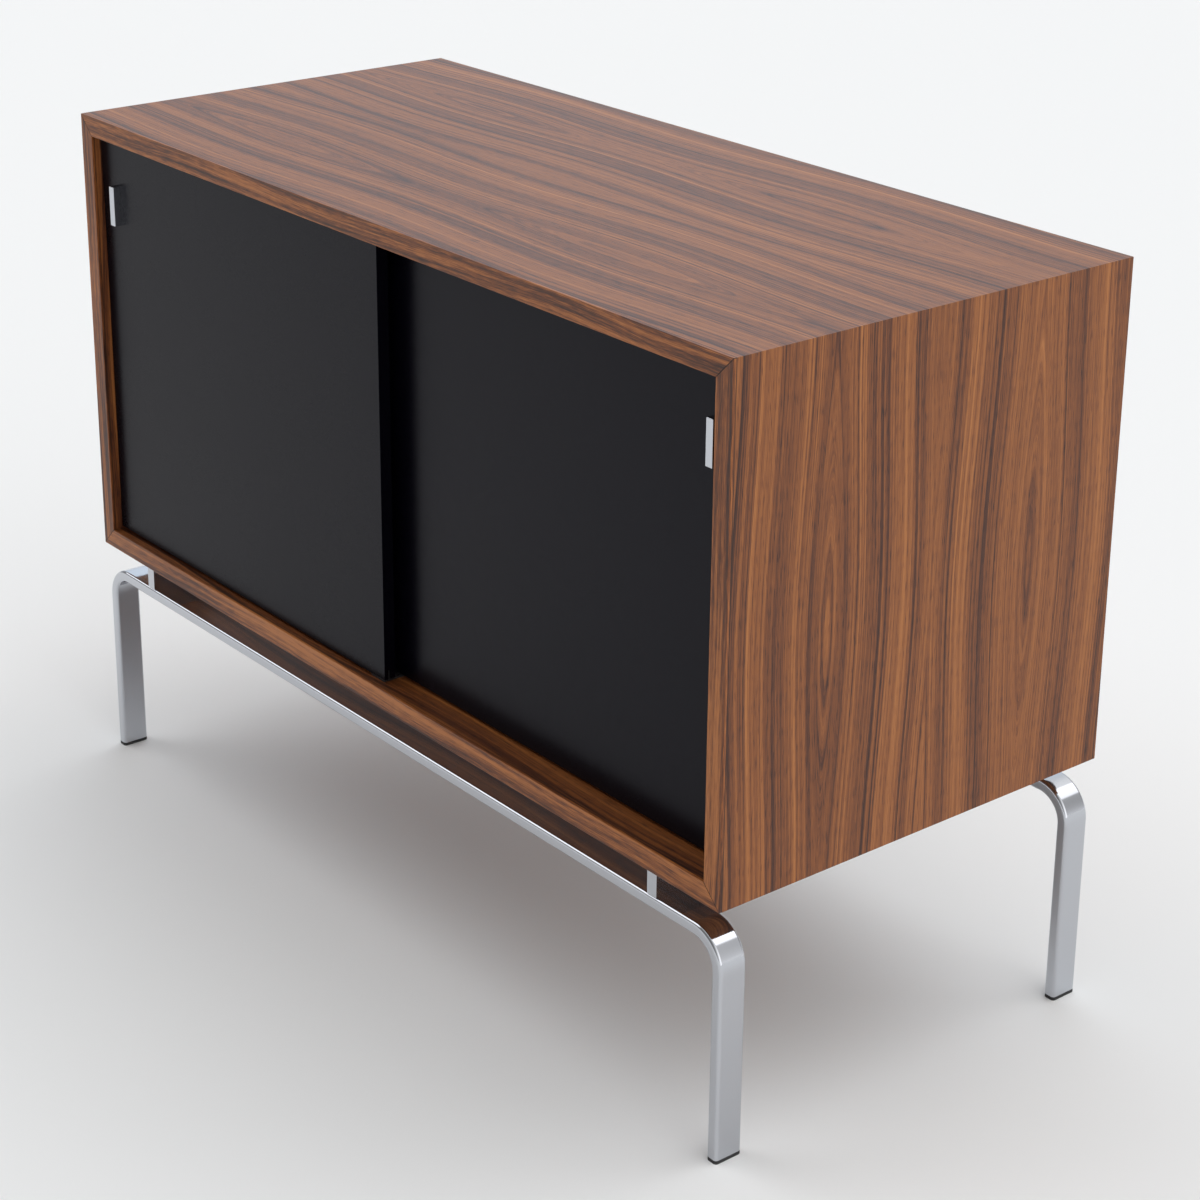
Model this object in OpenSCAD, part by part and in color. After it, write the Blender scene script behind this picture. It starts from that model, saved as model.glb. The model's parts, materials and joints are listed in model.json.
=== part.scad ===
// Low sideboard: a mitred walnut case with two black sliding doors,
// standing on two bent flat-bar frames that are joined by two crossbars.
// Millimetres. +X is the width, +Y goes to the back, +Z is up.
// The origin is on the floor, under the middle of the case.

/* [Case] */
// Width of the case over its sides
case_w = 1000; // [760:10:1400]
// Depth of the case, front to back
case_d = 450; // [360:5:600]
// Height of the case, without the base
case_h = 470; // [380:5:640]
// Thickness of the top, bottom and side boards
board_t = 20; // [18:1:26]
// Thickness of the solid lipping on the front edges
lipping_t = 3; // [2:0.5:6]
// Thickness of the back panel
back_t = 8; // [6:1:10]
// How far the back panel lies in from the rear edge
back_inset = 2; // [1:0.5:6]
// How far the back panel reaches into each board
back_rebate = 8; // [5:1:10]
// Thickness of the spline in each mitre
spline_t = 4; // [3:0.5:5]
// Width of the spline across each mitre
spline_w = 12; // [8:1:14]
// How far each spline stops short of the front and the back
spline_stop = 25; // [15:5:60]

/* [Inside] */
// Thickness of the upright partition
partition_t = 16; // [12:1:22]
// Thickness of a shelf
shelf_t = 16; // [12:1:22]
// Space at each end of a shelf
shelf_side_gap = 1; // [0.5:0.5:2]
// Space between the rear door and the partition and shelves
inside_gap = 5; // [3:1:20]
// Diameter of a shelf pin
pin_d = 5; // [4:1:6]
// Depth of a shelf pin hole
pin_depth = 7; // [5:0.5:7.5]
// Height step of the shelf pin holes
pin_pitch = 32; // [25:1:40]
// Holes in each column above and below the one in use
pin_rows = 2; // [1:1:3]
// Distance of the pin columns from the front and back of the shelf
pin_inset = 50; // [30:5:80]
// Diameter of a partition dowel
dowel_d = 8; // [6:1:10]
// Length of a dowel in each piece that it joins
dowel_depth = 12; // [8:1:14]

/* [Doors] */
// Thickness of a door
door_t = 12; // [10:0.5:14]
// How far the front door lies behind the front edge of the case
door_recess = 10; // [9:0.5:16]
// Air between the front door and the rear door
door_air = 9; // [9:0.5:14]
// How far the two doors overlap when both are shut
door_overlap = 28; // [28:2:60]
// Gap between a shut door and the side of the case
door_side_gap = 1.5; // [1:0.5:4]
// Gap under a door
door_floor_gap = 3.5; // [3:0.5:6]
// Gap over a door
door_head_gap = 4; // [3:0.5:6]

/* [Pulls] */
// Width of a pull
pull_w = 8.5; // [6:0.5:14]
// Height of a pull
pull_h = 41; // [30:1:80]
// How far a pull stands out of its door
pull_out = 8.4; // [6:0.1:8.6]
// Distance from the outer edge of a door to the middle of its pull
pull_inset = 30; // [20:1:90]
// Distance from the top of the case to the middle of a pull
pull_drop = 87; // [60:1:200]
// Radius of a pull's upright edges
pull_edge_r = 0.8; // [0.4:0.1:2]
// Distance between a pull's two screws
pull_screw_pitch = 22; // [16:1:28]

/* [Running gear] */
// Radius of a door roller
roller_r = 3.1; // [2.5:0.1:3.6]
// Width of a door roller
roller_w = 2.4; // [2:0.1:2.6]
// Diameter of a roller axle
axle_d = 2; // [1.5:0.1:2.2]
// Wall of the door track
track_wall = 1.5; // [1:0.1:1.8]
// Inside width of each track channel
channel_w = 11; // [10.5:0.5:11.5]
// Inside height of each track channel
channel_h = 7.5; // [7.5:0.5:8.5]
// Width of the slot that a hanger passes through
slot_w = 4.4; // [4:0.1:4.8]
// Thickness of a hanger's blade
blade_t = 2.4; // [2:0.1:2.8]
// Length of a hanger's blade
blade_l = 14; // [12:1:20]
// Length of a hanger's foot
hanger_l = 34; // [30:1:44]
// Width of a hanger's foot
hanger_w = 7; // [6.5:0.5:7.5]
// Height of a hanger's foot, let into the door
hanger_h = 8; // [6:1:12]
// Distance from the end of a door to the middle of each hanger
hanger_inset = 28; // [28:1:60]
// Length of the floor guide
guide_l = 22; // [16:1:26]
// Thickness of the floor guide's plate
guide_plate_t = 2; // [1.5:0.5:2.5]
// Thickness of a guide fin
guide_fin_t = 3.4; // [2.5:0.1:4]
// Height of a guide fin above the bottom of the door
guide_fin_up = 7; // [5:1:8]
// Depth of the groove under each door
groove_h = 9; // [9:1:12]
// Air at each side of a guide fin and of a hanger's blade
running_air = 0.3; // [0.25:0.05:0.5]

/* [Base] */
// Height of the base, floor to case
base_h = 240; // [160:5:320]
// Width of the flat bar
bar_w = 28.5; // [22:0.5:36]
// Thickness of the flat bar
bar_t = 12; // [10:0.5:14]
// Radius of the flat bar's edges
bar_edge_r = 3; // [1:0.5:4.5]
// Outer radius of the bends
bend_r = 36; // [24:1:60]
// How far the bars lie in from the front and back of the case
bar_inset = 3.5; // [0:0.5:40]
// Thickness of a crossbar
crossbar_t = 12; // [12:1:20]
// Height of a crossbar
crossbar_h = 25; // [20:1:40]
// Distance from the end of the case to the middle of a crossbar
crossbar_inset = 89; // [60:1:160]
// How far a crossbar's ends lie in from the edges of the bars
crossbar_end_inset = 0.5; // [0:0.5:5]
// Thickness of a foot pad
pad_t = 3; // [2:0.5:6]
// Diameter of a pad's stud
stud_d = 5; // [4:0.5:6]
// Length of a pad's stud
stud_l = 10; // [6:1:16]

/* [Fasteners] */
// Diameter of the bolts between the frames and the crossbars
frame_bolt_d = 6; // [5:1:6]
// Diameter of the bolts between the crossbars and the case
case_bolt_d = 5; // [4:1:5]
// Distance from the middle of the case to the case bolts
case_bolt_y = 120; // [60:5:150]
// Outer diameter of a threaded insert
insert_d = 9; // [8:0.5:11]
// Length of a threaded insert
insert_l = 13; // [10:1:14]
// Diameter of a countersunk wood screw
screw_d = 3; // [2.5:0.5:3.5]
// Radial clearance of a seated pin, bolt, dowel or screw
seat = 0.05; // [0.02:0.01:0.1]

/* [Hidden] */
$fn = 48;
cut = 1;                      // how far a cutter runs past the face that it opens
left = -1;
right = 1;

walnut = [0.47, 0.29, 0.20];
walnut_edge = [0.55, 0.36, 0.25];
black = [0.11, 0.11, 0.12];
chrome = [0.82, 0.83, 0.85];
steel = [0.62, 0.63, 0.65];
alloy = [0.72, 0.73, 0.74];
nylon = [0.88, 0.88, 0.85];
black_nylon = [0.08, 0.08, 0.08];
rubber = [0.06, 0.06, 0.06];
beech = [0.80, 0.66, 0.46];

// Case, outside and inside
case_z = base_h;
top_z = case_z + case_h;
half_w = case_w / 2;
front_y = -case_d / 2;
rear_y = case_d / 2;
in_x = half_w - board_t;
floor_z = case_z + board_t;
head_z = top_z - board_t;
back_front_y = rear_y - back_inset - back_t;
housing_air = 0.2;            // around the back panel and the door track in their housings
spline_in = board_t * 0.58;   // from the outer faces to a spline, nearer the inside corner

// Doors
front_door_y = front_y + door_recess;
rear_door_y = front_door_y + door_t + door_air;
door_out_x = in_x - door_side_gap;
door_in_x = -door_overlap / 2;
door_z0 = floor_z + door_floor_gap;
door_z1 = head_z - door_head_gap;
pull_x = door_out_x - pull_inset;
pull_z = top_z - pull_drop;
pull_screw_d = 3.4;
pull_screw_in = 5;            // how deep a pull screw goes into the pull
pull_head_d = 7;
pull_head_t = 2;
pull_head_sink = 0.2;         // how far a pull screw's head lies below the door's back

// Partition and shelves, behind the rear door
inside_y = rear_door_y + door_t + inside_gap;
shelf_back_gap = 6;
shelf_back_y = back_front_y - shelf_back_gap;
shelf_z = (floor_z + head_z) / 2;
shelf_x0 = partition_t / 2 + shelf_side_gap;
shelf_x1 = in_x - shelf_side_gap;
pin_plate_t = 3;
pin_plate_w = 10;
pin_plate_l = 8;
pin_collar_l = 1.6;           // length of the round collar against the wall
pin_wall_gap = 0.1;
pin_z = shelf_z - pin_plate_t;   // the pin's axis is at the underside of its plate
pin_ys = [inside_y + pin_inset, shelf_back_y - pin_inset];
dowel_inset = 60;
dowel_ys = [inside_y + dowel_inset, back_front_y - dowel_inset];

// Door track, let into the underside of the top board
track_h = channel_h + 2 * track_wall;
track_end_gap = 1;
track_l = 2 * (in_x - track_end_gap);
channel_ys = [front_door_y + door_t / 2, rear_door_y + door_t / 2];
track_y0 = channel_ys[0] - channel_w / 2 - track_wall;
track_y1 = channel_ys[1] + channel_w / 2 + track_wall;
track_mid_y = (track_y0 + track_y1) / 2;
ledge_z = head_z + track_wall;
track_web_z = ledge_z + channel_h;   // underside of the track's top wall
roller_air = 0.15;            // between a roller and the ledge that it runs on
axle_z = ledge_z + roller_air + roller_r;
roller_y = blade_t / 2 + running_air;
axle_end = 0.5;               // how far an axle stands out of its rollers
axle_l = 2 * (roller_y + roller_w + axle_end);
blade_eye = 1.2;              // metal left over the axle in a blade
blade_top_z = axle_z + axle_d / 2 + blade_eye;
hanger_outer_x = door_out_x - hanger_inset;
hanger_inner_x = door_in_x + hanger_inset;
stop_air = 0.3;               // between a stop and the blade of a shut or open door
stop_side_air = 0.1;
stop_l = track_l / 2 - hanger_outer_x - blade_l / 2 - stop_air;
track_screws_n = 6;
hanger_screw_pitch = hanger_l - 10;
hanger_screw_l = 16;

// Floor guide
guide_top_z = door_z0 + guide_fin_up;
groove_w = guide_fin_t + 2 * running_air;
guide_plate_lip = door_t / 3; // how far the plate runs past the middle of each fin
guide_screw_pitch = guide_l - 8;

// Base
bar_z = base_h - crossbar_h;
bar_y = case_d / 2 - bar_inset - bar_w / 2;
crossbar_x = half_w - crossbar_inset;
crossbar_l = 2 * (bar_y + bar_w / 2 - crossbar_end_inset);
leg_x = half_w - bar_t / 2;
frame_head_d = frame_bolt_d * 1.6;
frame_head_t = 5;
frame_head_sink = 0.5;        // how far a frame bolt's head lies inside the bar
frame_bolt_up = 14;           // how far a frame bolt goes up into the crossbar
case_head_d = case_bolt_d * 1.6;
case_head_t = case_bolt_d;
case_head_sink = 1;           // how far a case bolt's head lies inside the crossbar
case_bolt_up = insert_l - 2;  // how far a case bolt goes into its insert
head_air = 0.4;               // room around a sunk bolt head
end_air = 1;                  // room past the end of a bolt, a stud or an insert
socket_share = 0.9;           // width of a bolt's hexagon socket, as a share of its shank

screw_head_d = screw_d * 2;
screw_head_t = screw_d * 0.6;
screw_slot = [screw_head_d * 0.7, 0.7, 1.2];
back_screw_l = 16;
back_screws_x = 4;            // along the top and along the bottom
back_screws_z = 2;            // up each side
back_screw_reach = 0.8;       // share of the half width that the rows take
track_screw_l = 8;
guide_screw_l = 12;

// ---- helpers ------------------------------------------------------------

// Carries a profile drawn in X and Z along Y.
module along_y(y0, y1) {
    translate([0, y1, 0]) rotate([90, 0, 0]) linear_extrude(y1 - y0) children();
}

// Carries a profile drawn in Y and Z along X.
module along_x(x0, x1) {
    translate([x0, 0, 0]) rotate([90, 0, 90]) linear_extrude(x1 - x0) children();
}

// A box given by its lowest corner and its highest corner.
module span(low, high) {
    translate(low) cube(high - low);
}

// Keeps its children on the right, or mirrors them to the left.
module on_side(side) {
    mirror([side == left ? 1 : 0, 0, 0]) children();
}

// Rectangle about the origin with round corners.
module round_rect(x, y, r) {
    square([x - 2 * r, y], center = true);
    square([x, y - 2 * r], center = true);
    for (sx = [-1, 1], sy = [-1, 1])
        translate([sx * (x / 2 - r), sy * (y / 2 - r)]) circle(r);
}

// Wood screw that points up, with the flat of its cross-slotted head at z = 0.
module screw(length) {
    difference() {
        union() {
            cylinder(h = screw_head_t, d1 = screw_head_d, d2 = screw_d);
            cylinder(h = length, d = screw_d);
        }
        for (turn = [0, 90]) rotate(turn) cube(screw_slot, center = true);
    }
}

// Room for such a screw: the head's cone and the hole.
module screw_hole(length) {
    translate([0, 0, -cut]) cylinder(h = cut + seat, d = screw_head_d + 2 * seat);
    cylinder(h = screw_head_t, d1 = screw_head_d + 2 * seat, d2 = screw_d + 2 * seat);
    cylinder(h = length + seat, d = screw_d + 2 * seat);
}

// Socket-head bolt that points up, with the seat of its head at z = 0.
module bolt(d, head_d, head_t, length) {
    difference() {
        union() {
            translate([0, 0, -head_t]) cylinder(h = head_t, d = head_d);
            cylinder(h = length, d = d);
        }
        translate([0, 0, -head_t - cut])
            cylinder(h = cut + head_t * 0.6, d = d * socket_share, $fn = 6);
    }
}

// ---- case ---------------------------------------------------------------

// Outlines of the boards with a mitre at each end, seen from the front.
module mitred_top() {
    polygon([[-half_w, top_z], [half_w, top_z], [in_x, head_z], [-in_x, head_z]]);
}

module mitred_bottom() {
    polygon([[-half_w, case_z], [half_w, case_z], [in_x, floor_z], [-in_x, floor_z]]);
}

module mitred_side(side) {
    polygon([
        [side * half_w, case_z], [side * half_w, top_z],
        [side * in_x, head_z], [side * in_x, floor_z]
    ]);
}

// The four splines, grown by a clearance when they cut their grooves.
module splines(grow = 0) {
    size = [spline_w + 2 * grow, case_d - 2 * spline_stop + 2 * grow, spline_t + 2 * grow];
    for (sx = [-1, 1], z = [top_z - spline_in, case_z + spline_in]) {
        tilt = sx * (z > (top_z + case_z) / 2 ? -45 : 45);
        translate([sx * (half_w - spline_in), 0, z]) rotate([0, tilt, 0]) cube(size, center = true);
    }
}

// Space that the back panel takes, grown by a clearance when it cuts the boards.
module back_space(grow, rear) {
    x = in_x + back_rebate + grow;
    span(
        [-x, back_front_y, floor_z - back_rebate - grow],
        [x, rear, head_z + back_rebate + grow]
    );
}

module case_board() {
    difference() {
        along_y(front_y + lipping_t, rear_y) children();
        splines(seat);
        back_space(housing_air, rear_y + cut);
    }
}

module back_screw_places() {
    inset = back_rebate / 2;
    x_end = in_x + inset;
    z_low = floor_z - inset;
    z_high = head_z + inset;
    y = rear_y - back_inset;
    for (i = [0:back_screws_x - 1], z = [z_low, z_high])
        translate([in_x * back_screw_reach * (2 * i / (back_screws_x - 1) - 1), y, z])
            rotate([90, 0, 0]) children();
    for (x = [-x_end, x_end], i = [1:back_screws_z])
        translate([x, y, z_low + (z_high - z_low) * i / (back_screws_z + 1)])
            rotate([90, 0, 0]) children();
}

module pin_holes(x0, x1) {
    for (y = pin_ys, row = [-pin_rows:pin_rows])
        translate([x0, y, pin_z + row * pin_pitch])
            rotate([0, 90, 0]) cylinder(h = x1 - x0, d = pin_d + 2 * seat);
}

module dowels(grow = 0) {
    for (y = dowel_ys, z = [floor_z, head_z])
        translate([0, y, z])
            cylinder(h = 2 * (dowel_depth + grow), d = dowel_d + 2 * grow, center = true);
}

module track_space() {
    x = track_l / 2;
    span(
        [-x, track_y0 - housing_air, head_z - cut],
        [x, track_y1 + housing_air, head_z + track_h]
    );
}

module track_screw_places() {
    for (i = [0:track_screws_n - 1])
        translate([((i + 0.5) / track_screws_n - 0.5) * track_l, track_mid_y, track_web_z])
            children();
}

module guide_screw_places() {
    for (x = [-1, 1] * guide_screw_pitch / 2)
        translate([x, track_mid_y, floor_z + guide_plate_t]) rotate([180, 0, 0]) children();
}

module case_bolt_places() {
    for (sx = [-1, 1], y = [-case_bolt_y, case_bolt_y])
        translate([sx * crossbar_x, y, 0]) children();
}

module frame_bolt_places() {
    for (sx = [-1, 1], sy = [-1, 1])
        translate([sx * crossbar_x, sy * bar_y, 0]) children();
}

module top_panel() {
    color(walnut) difference() {
        case_board() mitred_top();
        track_space();
        track_screw_places() screw_hole(track_screw_l);
        dowels(seat);
        back_screw_places() screw_hole(back_screw_l);
    }
}

module bottom_panel() {
    color(walnut) difference() {
        case_board() mitred_bottom();
        dowels(seat);
        guide_screw_places() screw_hole(guide_screw_l);
        case_bolt_places() translate([0, 0, case_z - cut])
            cylinder(h = cut + insert_l + end_air, d = insert_d + 2 * seat);
        back_screw_places() screw_hole(back_screw_l);
    }
}

module side_panel(side) {
    color(walnut) difference() {
        case_board() mitred_side(side);
        on_side(side) pin_holes(in_x - cut, in_x + pin_depth);
        back_screw_places() screw_hole(back_screw_l);
    }
}

module left_side() { side_panel(left); }
module right_side() { side_panel(right); }

module lipping() {
    color(walnut_edge) along_y(front_y, front_y + lipping_t) children();
}

module top_lipping() { lipping() mitred_top(); }
module bottom_lipping() { lipping() mitred_bottom(); }
module left_lipping() { lipping() mitred_side(left); }
module right_lipping() { lipping() mitred_side(right); }

module back_panel() {
    color(walnut) difference() {
        back_space(0, rear_y - back_inset);
        back_screw_places() screw_hole(back_screw_l);
    }
}

module back_screws() {
    color(steel) back_screw_places() screw(back_screw_l);
}

module mitre_splines() {
    color(beech) splines();
}

module partition() {
    color(walnut) difference() {
        span([-partition_t / 2, inside_y, floor_z], [partition_t / 2, back_front_y, head_z]);
        dowels(seat);
        pin_holes(-partition_t, partition_t);
    }
}

module partition_dowels() {
    color(beech) dowels();
}

module shelf(side) {
    color(walnut) on_side(side)
        span([shelf_x0, inside_y, shelf_z], [shelf_x1, shelf_back_y, shelf_z + shelf_t]);
}

module left_shelf() { shelf(left); }
module right_shelf() { shelf(right); }

// One pin with a round collar and a flat plate, pushed into the wall on its own left.
module shelf_pin() {
    end = pin_plate_l + cut;
    w = pin_plate_w;
    translate([-pin_depth, 0, 0]) rotate([0, 90, 0])
        cylinder(h = pin_depth + pin_collar_l, d = pin_d);
    difference() {
        translate([pin_wall_gap, 0, 0]) rotate([0, 90, 0])
            cylinder(h = pin_plate_l - pin_wall_gap, d = w);
        span([0, -w, pin_plate_t], [end, w, w]);
        span([pin_collar_l, -w, -w], [end, w, 0]);
    }
}

module shelf_pins(side) {
    color(steel) on_side(side) for (y = pin_ys) {
        translate([partition_t / 2, y, pin_z]) shelf_pin();
        translate([in_x, y, pin_z]) mirror([1, 0, 0]) shelf_pin();
    }
}

module left_shelf_pins() { shelf_pins(left); }
module right_shelf_pins() { shelf_pins(right); }

// ---- running gear fixed to the case -----------------------------------------

// Section of the double track: two channels, each with a slot underneath.
module track_section() {
    difference() {
        translate([track_y0, head_z]) square([track_y1 - track_y0, track_h]);
        for (y = channel_ys) {
            translate([y - channel_w / 2, ledge_z]) square([channel_w, channel_h]);
            translate([y - slot_w / 2, head_z - cut]) square([slot_w, track_wall + 2 * cut]);
        }
        gap = channel_ys[1] - channel_ys[0] - channel_w - 2 * track_wall;
        translate([track_mid_y - gap / 2, head_z - cut]) square([gap, track_web_z - head_z + cut]);
    }
}

module door_track() {
    color(alloy) difference() {
        along_x(-track_l / 2, track_l / 2) track_section();
        track_screw_places() screw_hole(track_screw_l);
    }
}

module track_screws() {
    color(steel) track_screw_places() screw(track_screw_l);
}

// A soft block in each end of each channel, where the hanger's blade stops.
module track_stops() {
    half = channel_w / 2 - stop_side_air;
    color(rubber) for (side = [left, right], y = channel_ys) on_side(side)
        span(
            [track_l / 2 - stop_l, y - half, ledge_z],
            [track_l / 2, y + half, track_web_z - stop_side_air]
        );
}

module floor_guide() {
    color(black_nylon) difference() {
        union() {
            span(
                [-guide_l / 2, channel_ys[0] - guide_plate_lip, floor_z],
                [guide_l / 2, channel_ys[1] + guide_plate_lip, floor_z + guide_plate_t]
            );
            for (y = channel_ys) span(
                [-guide_l / 2, y - guide_fin_t / 2, floor_z],
                [guide_l / 2, y + guide_fin_t / 2, guide_top_z]
            );
        }
        guide_screw_places() screw_hole(guide_screw_l);
    }
}

module guide_screws() {
    color(steel) guide_screw_places() screw(guide_screw_l);
}

// ---- base ---------------------------------------------------------------

// The front bar: one run under the case, two bends and two legs.
module bent_bar() {
    bend_x = half_w - bend_r;
    bend_z = bar_z - bend_r;
    translate([-bend_x, 0, bar_z - bar_t / 2]) rotate([90, 0, 90])
        linear_extrude(2 * bend_x) round_rect(bar_w, bar_t, bar_edge_r);
    for (side = [left, right]) on_side(side) {
        translate([bend_x, 0, bend_z]) rotate([90, 0, 0]) rotate_extrude(angle = 90, $fn = 96)
            translate([bend_r - bar_t / 2, 0]) round_rect(bar_t, bar_w, bar_edge_r);
        translate([leg_x, 0, pad_t])
            linear_extrude(bend_z - pad_t) round_rect(bar_t, bar_w, bar_edge_r);
    }
}

module frame(sy) {
    color(chrome) difference() {
        translate([0, sy * bar_y, 0]) bent_bar();
        frame_bolt_places() translate([0, 0, bar_z - bar_t - cut]) {
            cylinder(h = bar_t + 2 * cut, d = frame_bolt_d + head_air);
            cylinder(h = cut + frame_head_t + frame_head_sink, d = frame_head_d + 2 * head_air);
        }
        pad_places() translate([0, 0, pad_t - cut])
            cylinder(h = cut + stud_l + end_air, d = stud_d + 2 * seat);
    }
}

module front_frame() { frame(-1); }
module rear_frame() { frame(1); }

module pad_places() {
    for (sx = [-1, 1], sy = [-1, 1]) translate([sx * leg_x, sy * bar_y, 0]) children();
}

module crossbar(side) {
    color(chrome) difference() {
        span(
            [side * crossbar_x - crossbar_t / 2, -crossbar_l / 2, bar_z],
            [side * crossbar_x + crossbar_t / 2, crossbar_l / 2, case_z]
        );
        frame_bolt_places() translate([0, 0, bar_z - cut])
            cylinder(h = cut + frame_bolt_up + end_air, d = frame_bolt_d + 2 * seat);
        case_bolt_places() {
            translate([0, 0, bar_z - cut])
                cylinder(h = cut + case_head_t + case_head_sink, d = case_head_d + 2 * head_air);
            translate([0, 0, bar_z]) cylinder(h = crossbar_h + cut, d = case_bolt_d + head_air);
        }
    }
}

module left_crossbar() { crossbar(left); }
module right_crossbar() { crossbar(right); }

module frame_bolts() {
    seat_z = bar_z - bar_t + frame_head_t + frame_head_sink;
    color(steel) frame_bolt_places() translate([0, 0, seat_z])
        bolt(frame_bolt_d, frame_head_d, frame_head_t, bar_z - seat_z + frame_bolt_up);
}

module case_bolts() {
    seat_z = bar_z + case_head_t + case_head_sink;
    color(steel) case_bolt_places() translate([0, 0, seat_z])
        bolt(case_bolt_d, case_head_d, case_head_t, case_z - seat_z + case_bolt_up);
}

module case_inserts() {
    color(alloy) case_bolt_places() translate([0, 0, case_z]) difference() {
        cylinder(h = insert_l, d = insert_d);
        translate([0, 0, -cut]) cylinder(h = insert_l + 2 * cut, d = case_bolt_d + 2 * seat);
    }
}

module pad(sx, sy) {
    color(rubber) translate([sx * leg_x, sy * bar_y, 0]) {
        linear_extrude(pad_t) round_rect(bar_t, bar_w, bar_edge_r);
        cylinder(h = pad_t + stud_l, d = stud_d);
    }
}

module front_left_pad() { pad(-1, -1); }
module front_right_pad() { pad(1, -1); }
module rear_left_pad() { pad(-1, 1); }
module rear_right_pad() { pad(1, 1); }

// ---- doors --------------------------------------------------------------

// Everything on a door is made for the right, with the door's front at y = 0,
// and then carried to its own side and track.
module on_door(side) {
    translate([0, side == left ? front_door_y : rear_door_y, 0]) on_side(side) children();
}

module pull_screw_places() {
    for (z = [-1, 1] * pull_screw_pitch / 2)
        translate([pull_x, door_t, pull_z + z]) rotate([90, 0, 0]) children();
}

module hanger_places() {
    for (x = [hanger_outer_x, hanger_inner_x]) translate([x, door_t / 2, door_z1]) children();
}

module hanger_screw_places() {
    hanger_places() for (x = [-1, 1] * hanger_screw_pitch / 2)
        translate([x, 0, 0]) rotate([180, 0, 0]) children();
}

module door(side) {
    color(black) on_door(side) difference() {
        span([door_in_x, 0, door_z0], [door_out_x, door_t, door_z1]);
        span(
            [door_in_x - cut, (door_t - groove_w) / 2, door_z0 - cut],
            [door_out_x + cut, (door_t + groove_w) / 2, door_z0 + groove_h]
        );
        hanger_places() span(
            [-hanger_l / 2 - seat, -hanger_w / 2 - seat, -hanger_h],
            [hanger_l / 2 + seat, hanger_w / 2 + seat, cut]
        );
        hanger_screw_places() screw_hole(hanger_screw_l);
        pull_screw_places() {
            translate([0, 0, -cut])
                cylinder(h = cut + pull_head_t + pull_head_sink, d = pull_head_d + head_air);
            cylinder(h = door_t + cut, d = pull_screw_d + head_air);
        }
    }
}

module left_door() { door(left); }
module right_door() { door(right); }

module pull(side) {
    color(chrome) on_door(side) difference() {
        translate([pull_x, -pull_out / 2, pull_z - pull_h / 2])
            linear_extrude(pull_h) round_rect(pull_w, pull_out, pull_edge_r);
        pull_screw_places()
            cylinder(h = door_t + pull_screw_in + end_air / 2, d = pull_screw_d + 2 * seat);
    }
}

module left_pull() { pull(left); }
module right_pull() { pull(right); }

module pull_screws(side) {
    seat_z = pull_head_t + pull_head_sink;
    color(steel) on_door(side) pull_screw_places() translate([0, 0, seat_z])
        bolt(pull_screw_d, pull_head_d, pull_head_t, door_t - seat_z + pull_screw_in);
}

module left_pull_screws() { pull_screws(left); }
module right_pull_screws() { pull_screws(right); }

module hangers(side) {
    color(steel) on_door(side) difference() {
        hanger_places() {
            span([-hanger_l / 2, -hanger_w / 2, -hanger_h], [hanger_l / 2, hanger_w / 2, 0]);
            span(
                [-blade_l / 2, -blade_t / 2, -hanger_h],
                [blade_l / 2, blade_t / 2, blade_top_z - door_z1]
            );
        }
        hanger_screw_places() screw_hole(hanger_screw_l);
        axle_places() rotate([90, 0, 0])
            cylinder(h = hanger_w, d = axle_d + 2 * seat, center = true);
    }
}

module axle_places() {
    for (x = [hanger_outer_x, hanger_inner_x]) translate([x, door_t / 2, axle_z]) children();
}

module left_hangers() { hangers(left); }
module right_hangers() { hangers(right); }

module hanger_screws(side) {
    color(steel) on_door(side) hanger_screw_places() screw(hanger_screw_l);
}

module left_hanger_screws() { hanger_screws(left); }
module right_hanger_screws() { hanger_screws(right); }

// The two rollers of one hanger, one at each side of its blade.
module rollers(side, x) {
    color(nylon) on_door(side) translate([x, door_t / 2, axle_z])
        for (turn = [0, 180]) rotate([0, 0, turn]) translate([0, roller_y, 0]) rotate([-90, 0, 0])
            difference() {
                cylinder(h = roller_w, r = roller_r);
                translate([0, 0, -cut]) cylinder(h = roller_w + 2 * cut, d = axle_d + 2 * seat);
            }
}

module axle(side, x) {
    color(steel) on_door(side) translate([x, door_t / 2, axle_z])
        rotate([90, 0, 0]) cylinder(h = axle_l, d = axle_d, center = true);
}

module left_outer_rollers() { rollers(left, hanger_outer_x); }
module left_inner_rollers() { rollers(left, hanger_inner_x); }
module right_outer_rollers() { rollers(right, hanger_outer_x); }
module right_inner_rollers() { rollers(right, hanger_inner_x); }
module left_outer_axle() { axle(left, hanger_outer_x); }
module left_inner_axle() { axle(left, hanger_inner_x); }
module right_outer_axle() { axle(right, hanger_outer_x); }
module right_inner_axle() { axle(right, hanger_inner_x); }

top_panel();
bottom_panel();
left_side();
right_side();
top_lipping();
bottom_lipping();
left_lipping();
right_lipping();
back_panel();
back_screws();
mitre_splines();
partition();
partition_dowels();
left_shelf();
right_shelf();
left_shelf_pins();
right_shelf_pins();
door_track();
track_screws();
track_stops();
floor_guide();
guide_screws();
front_frame();
rear_frame();
left_crossbar();
right_crossbar();
frame_bolts();
case_bolts();
case_inserts();
front_left_pad();
front_right_pad();
rear_left_pad();
rear_right_pad();
left_door();
left_pull();
left_pull_screws();
left_hangers();
left_hanger_screws();
left_outer_rollers();
left_outer_axle();
left_inner_rollers();
left_inner_axle();
right_door();
right_pull();
right_pull_screws();
right_hangers();
right_hanger_screws();
right_outer_rollers();
right_outer_axle();
right_inner_rollers();
right_inner_axle();
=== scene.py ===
import json
import math

import bmesh
import bpy
import numpy as np
from mathutils import Matrix, Vector


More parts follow.
